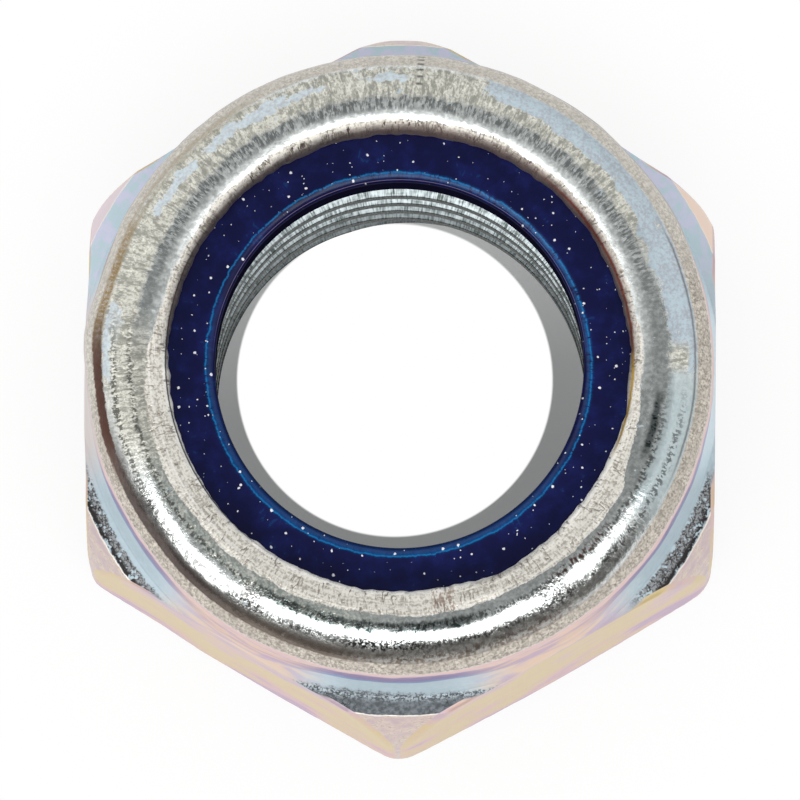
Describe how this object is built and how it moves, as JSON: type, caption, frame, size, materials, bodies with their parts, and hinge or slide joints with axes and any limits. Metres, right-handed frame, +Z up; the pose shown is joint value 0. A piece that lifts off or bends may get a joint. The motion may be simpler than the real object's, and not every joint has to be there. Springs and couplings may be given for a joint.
{
  "type": "nylon insert lock nut",
  "caption": "Hexagon lock nut with a rolled collar that traps a nylon ring, which grips the bolt so that the nut stays put under vibration.",
  "frame": {"origin": "middle of the bearing face, on the thread's axis", "axes": "+Z up the bore from the bearing face towards the nylon ring; +X square to a flat; +Y towards a corner"},
  "size_m": [0.024, 0.0272, 0.016],
  "materials": {
    "plated_steel": "zinc plated and clear passivated, with a faint iridescent film, burnished and scratched on the rolled rim",
    "blue_nylon": "moulded navy nylon, semi-gloss, with pale dust specks"
  },
  "bodies": {
    "root": {"nut_body": "plated_steel", "nylon_insert": "blue_nylon"}
  },
  "joints": []
}
